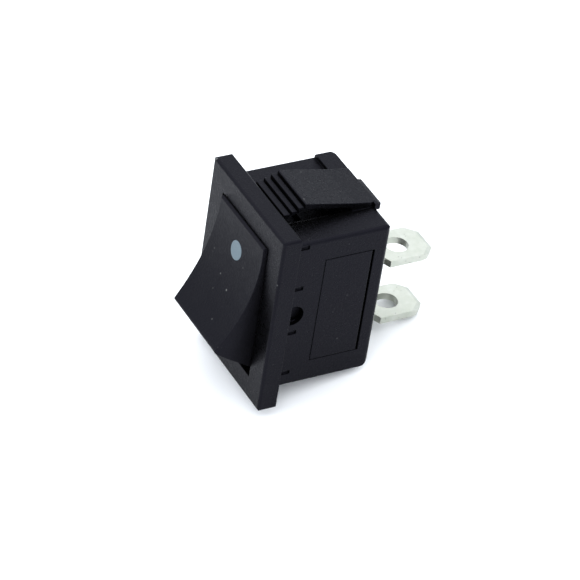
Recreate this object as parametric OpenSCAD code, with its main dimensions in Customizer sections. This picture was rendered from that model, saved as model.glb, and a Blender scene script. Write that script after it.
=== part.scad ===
// Miniature snap-in panel rocker switch, two terminals, on-off.
// X is the width, +Y points from the front face into the panel, +Z is up
// along the long side. Y = 0 is the plane where the bezel seats on the panel.

/* [Bezel] */
// Width of the bezel (X)
bezel_w = 15.3; // [14.8:0.1:16]
// Height of the bezel (Z)
bezel_h = 21.3; // [20.8:0.1:22]
// Thickness of the bezel in front of the panel
bezel_t = 2.05; // [1.85:0.05:2.2]
// Radius on the bezel's four corners
bezel_corner_r = 0.3; // [0.2:0.1:1]
// Radius along the bezel's front edge
bezel_edge_r = 0.3; // [0.1:0.05:0.5]
// How much narrower the bezel's front is than its back, each side
bezel_draft = 0; // [0:0.02:0.12]

/* [Housing body] */
// Width of the body behind the panel (X)
body_w = 12.8; // [12.7:0.05:12.9]
// Height of the body behind the panel (Z)
body_h = 18; // [17.9:0.05:18.2]
// Depth of the body behind the panel (Y)
body_d = 11.05; // [11:0.05:11.3]
// Wall thickness of the body
wall = 1; // [0.95:0.05:1.05]
// Length of the rocker opening (Z)
opening_h = 16.1; // [16.05:0.05:16.2]
// Width of the rocker opening (X)
opening_w = 10; // [9.95:0.05:10.1]

/* [Snap latches] */
// Width of each latch tongue (X)
latch_w = 6; // [5.4:0.1:6.4]
// Height of the latch's highest tooth above the body's middle
latch_peak = 11.1; // [10.9:0.05:11.3]
// Height of the block that carries each latch, above the body's end
latch_root_h = 0.45; // [0.4:0.05:0.6]
// Depth of the small grooves in front of the latch teeth
latch_groove = 0.28; // [0.15:0.01:0.3]

/* [Rocker] */
// Depth of the rocker's pivot behind the panel plane
pivot_y = 1.5; // [1.45:0.05:1.55]
// Tilt of the rocker either side of level
tilt = 18; // [17:0.5:18]
// Width of the rocker at its base (X)
rocker_w = 9.74; // [9.6:0.02:9.74]
// Radius of the hollow across the rocker's finger face
face_r = 19; // [17:0.5:22]
// Height of the middle of the finger face above the pivot
face_u = 5.08; // [4.96:0.02:5.12]
// Radius of the rocker's pivot pins
pin_r = 0.95; // [0.92:0.01:0.95]
// Radial play of the pivot pins in their bores
pin_play = 0.05; // [0.03:0.01:0.06]

/* [Contacts] */
// Depth of the contact lever's fulcrum behind the panel plane
fulcrum_y = 7.9; // [7.9:0.02:7.94]
// Tilt of the contact lever either side of level
lever_tilt = 8; // [7:0.5:8]
// Thickness of the contact lever
lever_t = 0.5; // [0.4:0.05:0.5]

/* [Terminals] */
// Width of a terminal blade (X)
tab_w = 4.8; // [4.6:0.05:4.8]
// Thickness of a terminal blade (Z)
tab_t = 0.8; // [0.7:0.05:0.8]
// Depth of the terminal tips behind the panel plane
tab_tip_y = 19.9; // [19:0.1:22]
// Depth of the wiring holes' centres behind the panel plane
tab_hole_y = 16.5; // [16.4:0.1:16.8]
// Radius of the wiring holes
tab_hole_r = 1.25; // [0.8:0.05:1.3]
// Height of the end terminal below the middle one
tab_pitch = 7.2; // [7.1:0.05:7.2]

/* [Hidden] */
$fn = 64;
e = 0.01;
hw = body_w / 2;
hh = body_h / 2;
bw = bezel_w / 2;
bh = bezel_h / 2;
cav_w = hw - wall;
cav_h = opening_h / 2;
floor_y = 9.3;
floor_t = 1.5;
window = [3.88, 9.5, 6.4];
root_z = hh + latch_root_h;
rocker_hw = rocker_w / 2;
side_r = 8;
end_r = 0.25;
face_end = 6.22;
skirt_end = 7.74;
slot_z = [8.48, 3.38, -2.18, -7.34];
plunger_r = 1.25;
plunger_c = 4.3;
lever_h = 0.25;
end_z = -tab_pitch;
dome_r = 3;
// how far each blade is set off upwards behind the base: middle, end
set_off = [0.3, 0.15];

// A (y, z) outline drawn out along X
module along_x(w) {
    rotate([90, 0, 90]) linear_extrude(height = w, center = true) children();
}

// An (x, z) outline drawn out along Y from y0 to y1
module along_y(y0, y1) {
    translate([0, y1, 0]) rotate([90, 0, 0]) linear_extrude(height = y1 - y0) children();
}

// A rectangle from a to b with its own radius on each corner,
// in the order low-low, high-low, high-high, low-high
module round_rect(a, b, r) {
    difference() {
        translate(a) square([b[0] - a[0], b[1] - a[1]]);
        corner_cut(a[0], a[1], 1, 1, r[0]);
        corner_cut(b[0], a[1], -1, 1, r[1]);
        corner_cut(b[0], b[1], -1, -1, r[2]);
        corner_cut(a[0], b[1], 1, -1, r[3]);
    }
}

// What a corner of radius r loses; sx and sy point into the shape
module corner_cut(x, y, sx, sy, r) {
    if (r > 0) difference() {
        translate([min(x - sx * e, x + sx * r), min(y - sy * e, y + sy * r)])
            square([r + e, r + e]);
        translate([x + sx * r, y + sy * r]) circle(r);
    }
}

// ---------------------------------------------------------------- housing

module bezel_solid() {
    intersection() {
        along_x(bezel_w + 1) bezel_side(bh, 0.2);
        rotate([0, 90, 0]) along_x(bezel_h + 1) bezel_side(bw, 0);
        along_y(-bezel_t - 1, 1)
            round_rect([-bw, -bh], [bw, bh], [for (i = [0:3]) bezel_corner_r]);
    }
}

// Bezel seen edge on: y across, its half-size up, drafted, with a rounded
// front and a radius of back on the edges at the panel
module bezel_side(h, back) {
    r = bezel_edge_r;
    d = bezel_draft;
    difference() {
        polygon([[-bezel_t, -(h - d)], [0, -h], [0, h], [-bezel_t, h - d]]);
        corner_cut(-bezel_t, -(h - d), 1, 1, r);
        corner_cut(-bezel_t, h - d, 1, -1, r);
        corner_cut(0, -h, -1, 1, back);
        corner_cut(0, h, -1, -1, back);
    }
}

module body_solid() {
    intersection() {
        along_x(body_w) round_rect([-1, -hh], [body_d, hh], [0, 1.3, 0.5, 0]);
        translate([0, 0, -hh - 1]) linear_extrude(height = body_h + 2)
            round_rect([-hw, -1], [hw, body_d], [0, 0, 0.5, 0.9]);
        along_y(-0.5, body_d + 1)
            round_rect([-hw, -hh], [hw, hh], [0.1, 0.25, 0.4, 0.1]);
    }
}

// Raised block at the back of one end, with the lug behind it
module latch_root() {
    intersection() {
        translate([-hw, floor_y - 0.3, hh - 0.7])
            cube([hw, body_d - floor_y + 0.3, latch_root_h + 0.7]);
        along_y(floor_y - 0.4, body_d + 0.1)
            round_rect([-hw, 0], [latch_w / 2, root_z], [0, 0, 0, 0.3]);
        translate([0, 0, hh - 1]) linear_extrude(height = 3)
            round_rect([-hw, -1], [hw, body_d], [0, 0, 0.15, 0.9]);
    }
    intersection() {
        along_x(9)
            polygon([[body_d - 0.3, hh - 0.25], [body_d + 0.45, hh - 0.25],
                     [body_d + 0.45, root_z - 0.08], [body_d, root_z + 0.04],
                     [body_d - 0.3, root_z + 0.04]]);
        translate([0, 0, hh - 1]) linear_extrude(height = 3)
            round_rect([-1.1, 9], [3.25, body_d + 0.45], [0, 0, 0.25, 0.1]);
    }
}

// Outline of the latch tongue: y along, z up, three toothed lands
// rising away from the bezel, then a long ramp back to its root
module latch_outline() {
    p = latch_peak;
    g = latch_groove;
    polygon([
        [0.4, p - 1.35], [0.55, p - 1.4], [2.7, p - 0.62], [8.1, p - 1.64],
        [8.3, hh - 0.1], [9.6, hh - 0.7], [body_d, hh - 0.7], [body_d, root_z + 0.05], [8.4, p - 1.16],
        [2.85, p], [2.72, p - 0.03],
        [2.72, p - 0.3 - g], [2.56, p - 0.3 - g], [2.56, p - 0.3], [1.98, p - 0.3],
        [1.98, p - 0.6 - g], [1.82, p - 0.6 - g], [1.82, p - 0.6], [1.24, p - 0.6],
        [1.24, p - 0.82 - g], [1.08, p - 0.82 - g], [1.08, p - 0.82], [0.4, p - 0.82]
    ]);
}

module latch() {
    latch_root();
    intersection() {
        along_x(latch_w) latch_outline();
        translate([0, 0, hh - 1]) linear_extrude(height = 4)
            round_rect([-latch_w / 2, -1], [latch_w / 2, body_d], [0, 0, 0.8, 0]);
    }
}

// The window for the base's side pad, and the pivot's bore and outer cut
module side_cuts() {
    for (z = slot_z) translate([hw - 0.18, 0.72, z - 0.25]) cube([1, 1.05, 0.5]);
    translate([cav_w - 1, window[0], -window[2]])
        cube([3, window[1] - window[0], 2 * window[2]]);
    translate([cav_w - 1, pivot_y, 0]) rotate([0, 90, 0])
        cylinder(r = pin_r + pin_play, h = hw - 0.45 - cav_w + 1);
    translate([hw - 0.5, 0, 0]) intersection() {
        translate([0, 1.1, 0]) rotate([0, 90, 0]) cylinder(r = 1.18, h = 1);
        translate([-1, 0.85, -2]) cube([3, 3, 4]);
    }
}

module housing() {
    color("#242528") difference() {
        union() {
            bezel_solid();
            difference() {
                body_solid();
                translate([-cav_w, -0.1, -cav_h]) cube([2 * cav_w, body_d + 1, 2 * cav_h]);
            }
            for (m = [0, 1]) mirror([m, 0, 0]) translate([cav_w - 0.3, pivot_y, 0])
                rotate([0, 90, 0]) cylinder(r = 1.55, h = 0.6);
            for (m = [0, 1]) mirror([0, 0, m]) latch();
        }
        translate([-opening_w / 2, -bezel_t - 1, -cav_h])
            cube([opening_w, bezel_t + 1.5, opening_h]);
        for (m = [0, 1]) mirror([m, 0, 0]) side_cuts();
        // the end walls are open under the latches
        for (m = [0, 1]) mirror([0, 0, m]) translate([-2.85, -0.1, cav_h - 0.3])
            cube([5.7, 7.3, hh - cav_h + 0.35]);
        for (m = [0, 1]) mirror([0, 0, m]) translate([-latch_w / 2 - 0.2, -0.1, hh])
            cube([latch_w + 0.4, 0.1 + e, bh - hh + 1]);
    }
}

// ------------------------------------------------------------------- base

module base() {
    fw = cav_w - 0.05;
    fh = cav_h - 0.05;
    color("#242528") difference() {
        union() {
            translate([-fw, floor_y, -fh]) cube([2 * fw, floor_t, 2 * fh]);
            for (m = [0, 1]) mirror([m, 0, 0]) {
                translate([fw - 0.4, 3.6, -6.9]) cube([0.4, floor_y - 3.6 + 0.1, 13.8]);
                translate([fw - 0.1, window[0] + 0.05, -window[2] + 0.12])
                    cube([hw + 0.03 - fw + 0.1, window[1] - window[0] - 0.35,
                          2 * window[2] - 0.16]);
            }
            for (m = [0, 1]) mirror([0, 0, m])
                translate([-3.6, 3.4, fh - 0.33]) cube([7.2, floor_y - 3.4 + 0.1, 0.33]);
            translate([-1.5, 8.49, 4.6]) cube([3, floor_y - 8.49 + 0.1, 1.2]);
        }
        for (z = [0, end_z]) translate([-tab_w / 2 - 0.02, floor_y - 1, z - tab_t / 2 - 0.02])
            cube([tab_w + 0.04, floor_t + 2, tab_t + 0.04]);
        translate([-tab_w / 2 - 0.02, floor_y - 1, end_z - tab_t / 2 - 0.02])
            cube([tab_w + 0.04, 1 + tab_t, tab_t / 2 + tab_pitch - 4 + 0.04]);
        translate([0, floor_y, -5.5]) rotate([-90, 0, 0]) cylinder(r = 0.9, h = tab_t + 0.25);
        translate([-tab_w / 2 - 0.02, floor_y + tab_t - e, end_z])
            cube([tab_w + 0.04, 0.22, 0.62]);
    }
}

// ----------------------------------------------------------------- rocker

// Puts a shape drawn about the pivot, level, at its place and tilt
module at_pivot() {
    translate([0, pivot_y, 0]) rotate([-tilt, 0, 0]) children();
}

// Rocker seen from its side: -y is outward, z along it. The end walls lean
// inwards from the skirt to the front.
module rocker_side() {
    difference() {
        polygon([[-7, face_end], [-0.8, skirt_end], [-0.8, -skirt_end], [-7, -face_end]]);
        translate([-face_u - face_r, 0]) circle(face_r, $fn = 128);
        for (m = [0, 1]) mirror([0, m, 0]) face_end_round();
    }
}

// What the edge between an end wall and the hollow face loses: p is the centre
// of a circle that touches both, a and b point from it to where it touches
module face_end_round() {
    lean = atan2(skirt_end - face_end, 6.2);
    f = face_r + end_r;
    g = face_end - end_r / cos(lean);
    h = g * cos(lean) - (face_u + face_r - 7) * sin(lean);
    y = -face_u - face_r + sqrt(f * f - h * h) * cos(lean) - h * sin(lean);
    p = [y, g + (y + 7) * tan(lean)];
    a = [-sin(lean), cos(lean)];
    b = -(p + [face_u + face_r, 0]) / f;
    d = (a + b) / norm(a + b);
    q = norm(a + b) / 2;
    // a slightly flatter arc than that circle, through the same two points
    w = end_r * 1.4;
    c = p - d * (sqrt(w * w - end_r * end_r * (1 - q * q)) - end_r * q);
    t = asin(sqrt(1 - q * q) / 1.4) + 14;
    difference() {
        polygon([c, c + 3 * w * turned(d, -t), c + 3 * w * turned(d, t)]);
        translate(c) circle(w);
    }
}

function turned(v, t) = [v[0] * cos(t) - v[1] * sin(t), v[0] * sin(t) + v[1] * cos(t)];

// Rocker seen from its end: x across, z for its height above the pivot
module rocker_end(w) {
    r = side_r;
    difference() {
        translate([-w, 0.8]) square([2 * w, 7]);
        for (m = [0, 1]) mirror([m, 0, 0]) difference() {
            translate([w - 1.5, 4]) square([1.5 + e, 4]);
            translate([w - r, 4]) circle(r, $fn = 128);
        }
    }
}

module rocker_hollow() {
    w = rocker_hw - 1;
    intersection() {
        along_x(2 * w) difference() {
            polygon([[-6, 5.15], [-0.7, 6.5], [-0.7, -6.5], [-6, -5.15]]);
            translate([-face_u - face_r, 0]) circle(face_r + 1.2, $fn = 128);
        }
        translate([-w, -5, -8]) cube([2 * w, 6, 16]);
    }
}

module rocker() {
    color("#262629") at_pivot() difference() {
        union() {
            difference() {
                intersection() {
                    along_x(rocker_w + 1) rocker_side();
                    translate([0, 0, -9]) linear_extrude(height = 18)
                        rotate(180) rocker_end(rocker_hw);
                }
                rocker_hollow();
            }
            for (m = [0, 1]) mirror([m, 0, 0]) {
                translate([rocker_hw - 1, 0, 0]) rotate([0, 90, 0]) cylinder(r = 2, h = 1);
                translate([rocker_hw - 1, -1.5, -2]) cube([1, 1.5, 4]);
                translate([rocker_hw - 0.1, 0, 0]) rotate([0, 90, 0])
                    cylinder(r = 1.3, h = 0.23);
                translate([rocker_hw - 0.1, 0, 0]) rotate([0, 90, 0])
                    cylinder(r = pin_r, h = 0.85);
            }
            rotate([90, 0, 0]) translate([0, 0, -3.2]) cylinder(r = 2.2, h = 3.2 + face_u - 1);
            translate([-rocker_hw + 0.5, -4.2, -0.45]) cube([rocker_w - 1, 4.2, 0.9]);
        }
        rotate([90, 0, 0]) translate([0, 0, -4]) cylinder(r = plunger_r + 0.05, h = 4 + 3.4);
    }
}

// ------------------------------------------------------ plunger and spring

module plunger() {
    color("#d8d4c8") at_pivot() {
        rotate([90, 0, 0]) union() {
            translate([0, 0, -plunger_c]) cylinder(r = plunger_r, h = plunger_c - 0.6);
            translate([0, 0, -plunger_c]) intersection() {
                sphere(r = plunger_r);
                translate([-2, -2, -2]) cube([4, 4, 2 + e]);
            }
            translate([0, 0, -0.7]) cylinder(r = 0.68, h = 1.3);
        }
    }
}

// Helix of round wire; its end turns lie close together
spring_r = 0.95;
wire_r = 0.16;
spring_lo = -0.6 + wire_r + 0.01;
spring_hi = 3.4 - wire_r - 0.01;
spring_turns = 6.5;
spring_steps = 84;
spring_sides = 8;
function spring_rise(t) = t < 0.12 ? t * 0.7 : t > 0.88 ? 1 - (1 - t) * 0.7
    : 0.084 + (t - 0.12) * (1 - 0.168) / 0.76;
function spring_pt(t) = [spring_r * cos(t * spring_turns * 360),
    spring_r * sin(t * spring_turns * 360),
    spring_lo + (spring_hi - spring_lo) * spring_rise(t)];
function spring_ring(t, k) = let (a = t * spring_turns * 360, b = k * 360 / spring_sides,
    p = spring_pt(t)) [p[0] + wire_r * cos(b) * cos(a), p[1] + wire_r * cos(b) * sin(a),
    p[2] + wire_r * sin(b)];

module plunger_spring() {
    n = spring_sides;
    s = spring_steps;
    pts = [for (i = [0:s]) for (k = [0:n - 1]) spring_ring(i / s, k)];
    skin = [for (i = [0:s - 1]) for (k = [0:n - 1]) for (f = [0, 1]) f == 0
        ? [i * n + k, i * n + (k + 1) % n, (i + 1) * n + (k + 1) % n]
        : [i * n + k, (i + 1) * n + (k + 1) % n, (i + 1) * n + k]];
    ends = [[for (k = [n - 1:-1:0]) k], [for (k = [0:n - 1]) s * n + k]];
    color("#b9bcc0") at_pivot() rotate([90, 0, 0]) polyhedron(pts, concat(skin, ends));
}

// --------------------------------------------------------------- contacts

// Puts a shape drawn about the fulcrum, level, at its place and tilt
module at_fulcrum() {
    translate([0, fulcrum_y, 0]) rotate([lever_tilt, 0, 0]) children();
}

module contact_lever() {
    w = tab_w / 2;
    color("#b87a4a") at_fulcrum() difference() {
        translate([-w, -lever_h - lever_t, -6.2]) cube([2 * w, lever_t, 12.2]);
        translate([-w - 1, 0, 0]) rotate([0, 90, 0]) cylinder(r = tab_t / 2 + 0.03, h = 2 * w + 2);
        for (m = [0, 1]) mirror([m, 0, 0]) translate([1.7, -2, -0.7]) cube([2, 2, 1.4]);
        translate([0, -2, -5.2]) rotate([-90, 0, 0]) cylinder(r = 0.6, h = 3);
    }
}

module moving_contact() {
    color("#c9cbd0") at_fulcrum() translate([0, 0, -5.2]) {
        intersection() {
            translate([0, -lever_h, 0]) rotate([-90, 0, 0]) cylinder(r = 1.2, h = 1);
            translate([0, 0.3 - dome_r, 0]) sphere(r = dome_r);
        }
        translate([0, -lever_h - lever_t, 0]) rotate([-90, 0, 0]) cylinder(r = 0.6, h = lever_t + 0.1);
        translate([0, -lever_h - lever_t - 0.15, 0]) rotate([-90, 0, 0]) cylinder(r = 0.9, h = 0.15);
    }
}

// -------------------------------------------------------------- terminals

// Blade outside the base: x across, y along. It is waisted between
// y = 12.3 and 14.55 and has a pointed tip.
module blade_outline(y0) {
    w = tab_w / 2;
    t = tab_tip_y;
    difference() {
        polygon([[-w, y0], [w, y0], [w, 12.3], [1.65, 12.75], [1.65, 14.2], [w, 14.55],
                 [w, t - 1], [w - 1, t], [1 - w, t], [-w, t - 1],
                 [-w, 14.55], [-1.65, 14.2], [-1.65, 12.75], [-w, 12.3]]);
        translate([0, tab_hole_y]) circle(tab_hole_r);
    }
}

// The blade's set-off and its coined tip: y along, z through the blade
module blade_section(off) {
    t = tab_tip_y;
    h = tab_t / 2;
    polygon([[0, -h], [11.3, -h], [12.2, off - h], [t - 0.4, off - h],
             [t + 0.01, off - h + 0.15], [t + 0.01, off + h - 0.15], [t - 0.4, off + h],
             [12.2, off + h], [11.3, h], [0, h]]);
}

module blade(y0, off) {
    h = tab_t / 2;
    difference() {
        intersection() {
            translate([0, 0, -1]) linear_extrude(height = 3) blade_outline(y0);
            along_x(10) blade_section(off);
        }
        // the tip's two slanted corners are coined like its end
        for (m = [0, 1]) mirror([m, 0, 0])
            translate([tab_w / 2 - 0.5, tab_tip_y - 0.5, off]) rotate([0, 0, -45])
                for (k = [0, 1]) mirror([0, 0, k]) along_x(6)
                    polygon([[-0.4, h], [0.4, h - 0.3], [0.4, h + 1], [-0.4, h + 1]]);
    }
}

module common_terminal() {
    h = tab_t / 2;
    color("#cfd3cb") {
        union() {
            blade(floor_y - 0.1, set_off[0]);
            translate([-2.8, fulcrum_y + 0.45, -h]) cube([5.6, floor_y - fulcrum_y - 0.45, tab_t]);
            translate([-1.75, fulcrum_y, -h]) cube([3.5, 1, tab_t]);
            translate([-1.75, fulcrum_y, 0]) rotate([0, 90, 0]) cylinder(r = h, h = 3.5);
            for (m = [0, 1]) mirror([m, 0, 0])
                translate([1.85, fulcrum_y - 1, -h]) cube([0.5, 1.6, tab_t]);
        }
    }
}

module end_terminal() {
    h = tab_t / 2;
    color("#cfd3cb") difference() {
        union() {
            translate([0, 0, end_z]) blade(floor_y + tab_t + 0.2, set_off[1]);
            along_x(tab_w) difference() {
                union() {
                    translate([floor_y, end_z + h + 0.2])
                        square([tab_t, tab_pitch - h - 0.2 - 4]);
                    intersection() {
                        translate([floor_y + tab_t + 0.2, end_z + h + 0.2]) circle(tab_t + 0.2);
                        translate([floor_y, end_z - h]) square([tab_t + 0.2, tab_t + 0.2]);
                    }
                }
                translate([floor_y + tab_t + 0.2, end_z + h + 0.2]) circle(0.2);
            }
        }
        translate([0, floor_y - 1, -5.5]) rotate([-90, 0, 0]) cylinder(r = 0.6, h = 2.5);
    }
}

module fixed_contact() {
    color("#c9cbd0") translate([0, floor_y, -5.5]) rotate([-90, 0, 0]) {
        translate([0, 0, -0.33]) cylinder(r = 1.3, h = 0.33);
        translate([0, 0, -0.1]) cylinder(r = 0.6, h = tab_t + 0.2);
        translate([0, 0, tab_t]) cylinder(r = 0.85, h = 0.2);
    }
}

housing();
base();
rocker();
plunger();
plunger_spring();
contact_lever();
moving_contact();
common_terminal();
end_terminal();
fixed_contact();
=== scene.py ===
import math

import bpy
import numpy as np
from mathutils import Matrix, Vector


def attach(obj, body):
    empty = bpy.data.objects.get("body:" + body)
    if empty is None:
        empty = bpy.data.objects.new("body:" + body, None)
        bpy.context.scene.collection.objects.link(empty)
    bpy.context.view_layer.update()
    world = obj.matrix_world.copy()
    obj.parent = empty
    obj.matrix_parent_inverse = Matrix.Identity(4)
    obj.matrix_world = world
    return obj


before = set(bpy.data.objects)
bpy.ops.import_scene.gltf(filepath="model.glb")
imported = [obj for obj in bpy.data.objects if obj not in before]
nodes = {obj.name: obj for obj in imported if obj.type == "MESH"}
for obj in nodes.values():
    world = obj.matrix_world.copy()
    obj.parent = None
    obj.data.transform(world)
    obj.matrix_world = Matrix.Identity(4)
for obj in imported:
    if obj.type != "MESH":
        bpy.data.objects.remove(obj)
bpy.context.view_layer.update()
MM = 0.001


# ---------------------------------------------------------------- materials

class Tree:
    """A small helper that adds and links nodes."""

    def __init__(self, name):
        self.mat = bpy.data.materials.new(name)
        self.mat.use_nodes = True
        self.nt = self.mat.node_tree
        self.nt.nodes.clear()
        self.out = self.add("ShaderNodeOutputMaterial")
        self.bsdf = self.add("ShaderNodeBsdfPrincipled")
        self.link(self.bsdf.outputs["BSDF"], self.out.inputs["Surface"])
        self.coord = self.add("ShaderNodeTexCoord").outputs["Object"]

    def add(self, kind, **props):
        n = self.nt.nodes.new(kind)
        for k, v in props.items():
            setattr(n, k, v)
        return n

    def link(self, a, b):
        self.nt.links.new(a, b)

    def noise(self, scale, detail=3.0, rough=0.5, stretch=None):
        n = self.add("ShaderNodeTexNoise")
        n.inputs["Scale"].default_value = scale
        n.inputs["Detail"].default_value = detail
        n.inputs["Roughness"].default_value = rough
        src = self.coord
        if stretch:
            m = self.add("ShaderNodeMapping")
            m.inputs["Scale"].default_value = stretch
            self.link(src, m.inputs["Vector"])
            src = m.outputs["Vector"]
        self.link(src, n.inputs["Vector"])
        return n.outputs["Fac"]

    def voronoi(self, scale, feature="F1"):
        n = self.add("ShaderNodeTexVoronoi", feature=feature)
        n.inputs["Scale"].default_value = scale
        self.link(self.coord, n.inputs["Vector"])
        return n

    def ramp(self, fac, stops, mode="LINEAR"):
        n = self.add("ShaderNodeValToRGB")
        n.color_ramp.interpolation = mode
        els = n.color_ramp.elements
        while len(els) > 1:
            els.remove(els[-1])
        els[0].position = stops[0][0]
        els[0].color = rgba(stops[0][1])
        for p, c in stops[1:]:
            e = els.new(p)
            e.color = rgba(c)
        self.link(fac, n.inputs["Fac"])
        return n.outputs["Color"]

    def map_range(self, fac, a, b, lo, hi):
        n = self.add("ShaderNodeMapRange")
        n.inputs["From Min"].default_value = a
        n.inputs["From Max"].default_value = b
        n.inputs["To Min"].default_value = lo
        n.inputs["To Max"].default_value = hi
        self.link(fac, n.inputs["Value"])
        return n.outputs["Result"]

    def mix(self, fac, a, b, blend="MIX"):
        n = self.add("ShaderNodeMix", data_type="RGBA", blend_type=blend)
        put(self, fac, n.inputs[0])
        put(self, a, n.inputs[6])
        put(self, b, n.inputs[7])
        return n.outputs[2]

    def math(self, op, a, b=0.0, clamp=False):
        n = self.add("ShaderNodeMath", operation=op, use_clamp=clamp)
        put(self, a, n.inputs[0])
        put(self, b, n.inputs[1])
        return n.outputs[0]

    def bump(self, height, distance, strength=1.0, normal=None):
        n = self.add("ShaderNodeBump")
        n.inputs["Distance"].default_value = distance
        n.inputs["Strength"].default_value = strength
        self.link(height, n.inputs["Height"])
        if normal is not None:
            self.link(normal, n.inputs["Normal"])
        return n.outputs["Normal"]

    def bevel(self, radius, samples=6):
        n = self.add("ShaderNodeBevel", samples=samples)
        n.inputs["Radius"].default_value = radius
        return n.outputs["Normal"]

    def spot(self, at, radius, amount):
        """A soft round field of the given strength about a point in the part's frame."""
        n = self.add("ShaderNodeVectorMath", operation="DISTANCE")
        self.link(self.coord, n.inputs[0])
        n.inputs[1].default_value = at
        return self.map_range(n.outputs["Value"], radius * 0.55, radius, amount, 0.0)

    def set(self, **values):
        for k, v in values.items():
            self.bsdf.inputs[k.replace("_", " ")].default_value = v


def rgba(c):
    if isinstance(c, (int, float)):
        c = (c, c, c)
    return (*c, 1.0) if len(c) == 3 else tuple(c)


def put(tree, value, socket):
    if hasattr(value, "is_output"):
        tree.link(value, socket)
    elif socket.type == "RGBA":
        socket.default_value = rgba(value)
    else:
        socket.default_value = value


def moulded(name, dark, light, specular, rough, grain, specks=(), painted_highlights=()):
    """Moulded nylon: spark-eroded grain, faint clouding, a few specks of dust and pale painted highlights on edges."""
    t = Tree(name)
    cloud = t.noise(420, 4, 0.6)
    col = t.ramp(cloud, [(0.32, dark), (0.7, light)])
    fine = t.noise(6500, 2, 0.55)
    col = t.mix(t.map_range(fine, 0.35, 0.75, 0.0, 0.35), col, light)
    lint = t.math("MULTIPLY", t.math("LESS_THAN", t.voronoi(1500).outputs["Distance"], 0.07),
                  t.math("GREATER_THAN", t.noise(1300, 0), 0.66))
    col = t.mix(t.math("MULTIPLY", lint, 0.10), col, (0.30, 0.30, 0.29))
    for at, radius, amount in specks:
        col = t.mix(t.spot(at, radius, amount), col, (0.42, 0.42, 0.40))
    # Pale patches at the given points are painted highlights, where a rounded edge catches the light.
    for at, radius, amount in painted_highlights:
        edge = t.math("MULTIPLY", t.spot(at, radius, amount), t.map_range(t.noise(9000, 3, 0.7), 0.42, 0.58, 0.2, 1.0))
        col = t.mix(edge, col, (0.50, 0.50, 0.49))
    t.link(col, t.bsdf.inputs["Base Color"])
    t.link(t.map_range(t.noise(2200, 3, 0.6), 0.3, 0.7, rough - 0.05, rough + 0.06), t.bsdf.inputs["Roughness"])
    t.set(Specular_IOR_Level=specular, IOR=1.5, Specular_Tint=(1.9, 1.85, 2.6, 1.0))
    edge = t.bevel(0.0001)
    h = t.math("ADD", t.math("MULTIPLY", t.noise(4600, 3, 0.65), 0.6), t.math("MULTIPLY", t.noise(9500, 2, 0.6), 0.4))
    t.link(t.bump(h, grain, 1.0, edge), t.bsdf.inputs["Normal"])
    return t.mat


def plated(name):
    """Dull tin over brass strip: mottled, with a drawn grain and small pits."""
    t = Tree(name)
    cloud = t.noise(700, 5, 0.62)
    col = t.ramp(cloud, [(0.3, (0.39, 0.415, 0.355)), (0.5, (0.45, 0.465, 0.41)), (0.72, (0.52, 0.535, 0.485))])
    blotch = t.noise(1800, 4, 0.7)
    col = t.mix(t.map_range(blotch, 0.55, 0.72, 0.0, 0.5), col, (0.40, 0.42, 0.34))
    v = t.voronoi(2600)
    pits = t.math("MULTIPLY", t.math("LESS_THAN", v.outputs["Distance"], 0.17),
                  t.math("GREATER_THAN", t.noise(2100, 0), 0.60))
    col = t.mix(t.math("MULTIPLY", pits, 0.75), col, (0.12, 0.12, 0.10))
    t.link(col, t.bsdf.inputs["Base Color"])
    t.set(Metallic=0.85, IOR=1.5)
    t.link(t.map_range(cloud, 0.3, 0.7, 0.34, 0.5), t.bsdf.inputs["Roughness"])
    grain = t.noise(2500, 4, 0.7, (1.0, 0.12, 1.0))
    h = t.math("SUBTRACT", t.math("ADD", t.math("MULTIPLY", grain, 0.5), t.math("MULTIPLY", cloud, 0.6)),
               t.math("MULTIPLY", pits, 0.8))
    t.link(t.bump(h, 0.000012, 1.0, t.bevel(0.00006)), t.bsdf.inputs["Normal"])
    return t.mat


def metal(name, a, b, rough, stretch=(1, 1, 1), scale=2500, bump=0.000004):
    """Plain worked metal: rolled or drawn, with a little tarnish."""
    t = Tree(name)
    n = t.noise(scale, 4, 0.65, stretch)
    t.link(t.ramp(n, [(0.3, a), (0.7, b)]), t.bsdf.inputs["Base Color"])
    t.set(Metallic=1.0)
    t.link(t.map_range(n, 0.3, 0.7, rough - 0.05, rough + 0.08), t.bsdf.inputs["Roughness"])
    t.link(t.bump(n, bump, 1.0, t.bevel(0.00003, 4)), t.bsdf.inputs["Normal"])
    return t.mat


def dot_paint():
    """Thin pad-printed ink over moulded grain."""
    t = Tree("dot_ink")
    n = t.noise(2600, 4, 0.6)
    t.link(t.ramp(n, [(0.3, (0.078, 0.112, 0.134)), (0.7, (0.096, 0.134, 0.157))]), t.bsdf.inputs["Base Color"])
    t.link(t.map_range(n, 0.3, 0.7, 0.42, 0.58), t.bsdf.inputs["Roughness"])
    t.set(Specular_IOR_Level=0.35)
    t.link(t.bump(t.noise(5200, 3, 0.6), 0.000006), t.bsdf.inputs["Normal"])
    return t.mat


PIVOT_Y = 1.5
TILT = math.radians(18)
FACE_R = 19.0
FACE_U = 5.08


def on_rocker(x, u, v):
    """A point given across, above and along the rocker about its pivot, in the row frame."""
    c, s = math.cos(TILT), math.sin(TILT)
    return Vector((x, PIVOT_Y - c * u + s * v, s * u + c * v)) * MM


def face_height(v):
    return FACE_U + FACE_R - math.sqrt(FACE_R ** 2 - v * v)


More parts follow.
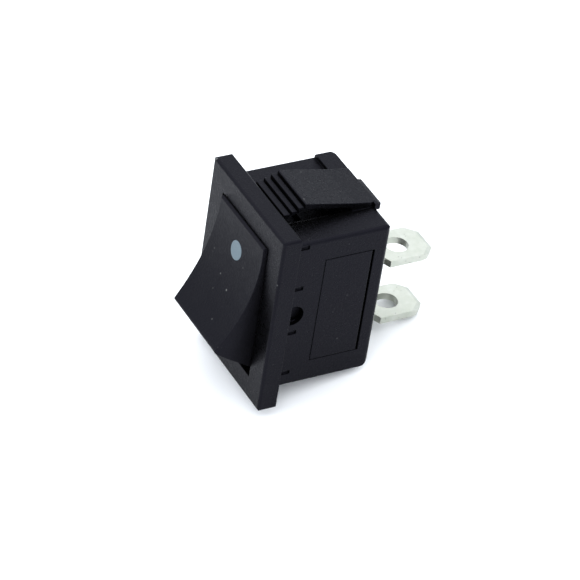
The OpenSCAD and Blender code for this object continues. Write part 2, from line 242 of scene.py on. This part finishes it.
BLACK = moulded("black_nylon", 0.0007, 0.0013, 0.047, 0.30, 0.000055,
                specks=[((0.00748, -0.00205, 0.00546), 0.00012, 0.12),
                        ((-0.00329, -0.00205, 0.01001), 0.00010, 0.10),
                        ((-0.00424, -0.00205, 0.00815), 0.00011, 0.08),
                        ((0.0064, 0.0071, 0.0012), 0.00010, 0.06),
                        ((0.0064, 0.0068, -0.0043), 0.00012, 0.06),
                        ((-0.00259, 0.0052, 0.01061), 0.00012, 0.08),
                        ((0.00209, 0.0030, 0.01107), 0.00010, 0.16)],
                # Painted highlight on the bezel's front top-left corner.
                painted_highlights=[((-0.0073, -0.00195, 0.0106), 0.00020, 0.25)])
ROCKER = moulded("rocker_nylon", 0.0012, 0.0019, 0.049, 0.42, 0.000050,
                 specks=[((0.00102, -0.00372, 0.00049), 0.00014, 0.20),
                         ((-0.00091, -0.00349, 0.00111), 0.00012, 0.13),
                         ((-0.0034, -0.00308, 0.00241), 0.00011, 0.08),
                         ((0.0015, -0.0052, -0.00248), 0.00011, 0.12),
                         ((-0.00084, -0.00416, -0.00054), 0.00010, 0.08),
                         ((0.00196, -0.00277, 0.00374), 0.00010, 0.09),
                         ((0.0030, -0.0034, 0.0021), 0.00010, 0.06)])
TIN = plated("tin_plate")
STEEL = metal("spring_steel", (0.42, 0.42, 0.43), (0.62, 0.62, 0.63), 0.32, (1, 1, 1), 3000)
COPPER = metal("copper_alloy", (0.58, 0.30, 0.17), (0.74, 0.44, 0.27), 0.30, (1, 1, 0.15), 2000)
SILVER = metal("contact_silver", (0.70, 0.70, 0.69), (0.84, 0.84, 0.84), 0.28)
acetal = Tree("acetal")
acetal.link(acetal.ramp(acetal.noise(900, 4, 0.6), [(0.3, (0.62, 0.60, 0.53)), (0.7, (0.70, 0.68, 0.61))]),
            acetal.bsdf.inputs["Base Color"])
acetal.link(acetal.map_range(acetal.noise(2500, 3), 0.3, 0.7, 0.28, 0.40), acetal.bsdf.inputs["Roughness"])
acetal.link(acetal.bump(acetal.noise(4000, 3), 0.000003), acetal.bsdf.inputs["Normal"])
ACETAL = acetal.mat

FINISH = {
    "housing": BLACK, "base": BLACK, "rocker": ROCKER, "plunger": ACETAL, "plunger_spring": STEEL,
    "contact_lever": COPPER, "moving_contact": SILVER, "common_terminal": TIN, "end_terminal": TIN,
    "fixed_contact": SILVER,
}
for name, mat in FINISH.items():
    ob = nodes[name]
    ob.data.materials.clear()
    ob.data.materials.append(mat)
    for p in ob.data.polygons:
        p.material_index = 0


# ------------------------------------------------------------------ pieces

def mesh_object(name, verts, faces, mat, smooth=True):
    me = bpy.data.meshes.new(name)
    me.from_pydata([tuple(v) for v in verts], [], faces)
    me.validate()
    me.update()
    if smooth:
        for p in me.polygons:
            p.use_smooth = True
    ob = bpy.data.objects.new(name, me)
    bpy.context.scene.collection.objects.link(ob)
    me.materials.append(mat)
    return ob


def printed_dot(cx, cv, r, rise):
    rings = [0.0, 0.25, 0.5, 0.72, 0.88, 0.96, 1.0, 1.02]
    lift = [1.0, 1.0, 1.0, 1.0, 0.98, 0.8, 0.25, -1.2]
    n = 72
    verts, faces = [on_rocker(cx, face_height(cv) + rise, cv)], []
    for q, h in zip(rings[1:], lift[1:]):
        for k in range(n):
            a = 2 * math.pi * k / n
            x, v = cx + r * q * math.cos(a), cv + r * q * math.sin(a)
            verts.append(on_rocker(x, face_height(v) + rise * h, v))
    for k in range(n):
        faces.append((0, 1 + k, 1 + (k + 1) % n))
    for j in range(len(rings) - 2):
        for k in range(n):
            a, b = 1 + j * n + k, 1 + j * n + (k + 1) % n
            faces.append((a, a + n, b + n, b))
    ob = mesh_object("printed_dot", verts, faces, dot_paint())
    bpy.context.view_layer.update()
    me = ob.data
    if me.polygons[0].normal.dot(Vector((0, -1, 0))) < 0:
        me.flip_normals()
    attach(ob, "rocker")
    return ob


printed_dot(0.0, 3.0, 1.01, 0.015)


# ---------------------------------------------------------- floor and light

def resting_plane(balance_y):
    """Lean and height of the floor that the housing's lower outline rests on, below balance_y."""
    ob = nodes["housing"]
    pts = sorted({(round(p.y, 6), round(p.z, 6)) for p in (ob.matrix_world @ v.co for v in ob.data.vertices)})
    hull = []
    for p in pts:
        while len(hull) > 1 and ((hull[-1][0] - hull[-2][0]) * (p[1] - hull[-2][1])
                                 - (hull[-1][1] - hull[-2][1]) * (p[0] - hull[-2][0])) <= 0:
            hull.pop()
        hull.append(p)
    for a, b in zip(hull, hull[1:]):
        if a[0] <= balance_y <= b[0]:
            lean = math.atan2(b[1] - a[1], b[0] - a[0])
            return lean, -a[0] * math.sin(lean) + a[1] * math.cos(lean)


LEAN, drop = resting_plane(0.0055)
up = Vector((0, -math.sin(LEAN), math.cos(LEAN)))
side = Vector((1, 0, 0))
fwd = up.cross(side)
centre = Vector((0, 0.006, 0))
foot = centre + up * (drop - centre.dot(up))
S = 3.0
floor_pts = [foot + side * a * S + fwd * b * S for a, b in ((-1, -1), (1, -1), (1, 1), (-1, 1))]
ft = Tree("white_paper")
ft.link(ft.ramp(ft.noise(30, 3), [(0.3, (0.89, 0.895, 0.90)), (0.7, (0.91, 0.915, 0.92))]), ft.bsdf.inputs["Base Color"])
ft.set(Roughness=0.9, Specular_IOR_Level=0.1)
floor = mesh_object("floor", floor_pts, [(0, 1, 2, 3)], ft.mat, smooth=False)

world = bpy.data.worlds.new("studio")
bpy.context.scene.world = world
world.use_nodes = True
bg = world.node_tree.nodes["Background"]
bg.inputs["Color"].default_value = (0.86, 0.92, 1.0, 1.0)
bg.inputs["Strength"].default_value = 1.36


def area(name, where, aim, size, power, colour=(1, 1, 1)):
    d = bpy.data.lights.new(name, "AREA")
    d.shape = "RECTANGLE"
    d.size, d.size_y = size
    d.energy = power
    d.color = colour
    o = bpy.data.objects.new(name, d)
    bpy.context.scene.collection.objects.link(o)
    o.location = where
    o.rotation_euler = (Vector(where) - Vector(aim)).to_track_quat("Z", "Y").to_euler()
    return o


top = foot + up * 0.6
area("top_light", top, foot, (1.8, 1.8), 11.8, (1.0, 0.99, 0.975))
left = foot - side * 1.0 - fwd * 0.45 + up * 0.32
area("left_fill", left, foot, (0.9, 0.6), 0.5, (0.95, 0.975, 1.0))
right = foot + side * 0.95 + fwd * 0.1 + up * 0.25
area("right_fill", right, foot, (0.8, 0.45), 0.4, (0.95, 0.975, 1.0))


# ------------------------------------------------------------------- camera

AZ, EL, ROLL = math.radians(56.638), math.radians(37.214), math.radians(9.251)
U, V, SCALE, INV = 3.3946, 2.4877, 9.8296, 0.0028

BACK = Vector((math.sin(AZ) * math.cos(EL), -math.cos(AZ) * math.cos(EL), math.sin(EL)))
level = Vector((math.cos(AZ), math.sin(AZ), 0))
RIGHT = level * math.cos(ROLL) + BACK.cross(level) * math.sin(ROLL)
UP = BACK.cross(RIGHT)
dist = 1.0 / INV
eye = Vector((0, 8.0, 0)) - RIGHT * U - UP * V + BACK * dist
cam_data = bpy.data.cameras.new("camera")
cam_data.sensor_width = 36.0
cam_data.lens = SCALE * dist / 580.0 * 36.0
cam_data.clip_start = 0.01
cam_data.clip_end = 20.0
cam = bpy.data.objects.new("camera", cam_data)
bpy.context.scene.collection.objects.link(cam)
m = Matrix.Identity(4)
for i in range(3):
    m[i][0], m[i][1], m[i][2], m[i][3] = RIGHT[i], UP[i], BACK[i], eye[i] * MM
cam.matrix_world = m
bpy.context.scene.camera = cam
bpy.context.scene.view_settings.view_transform = "Standard"
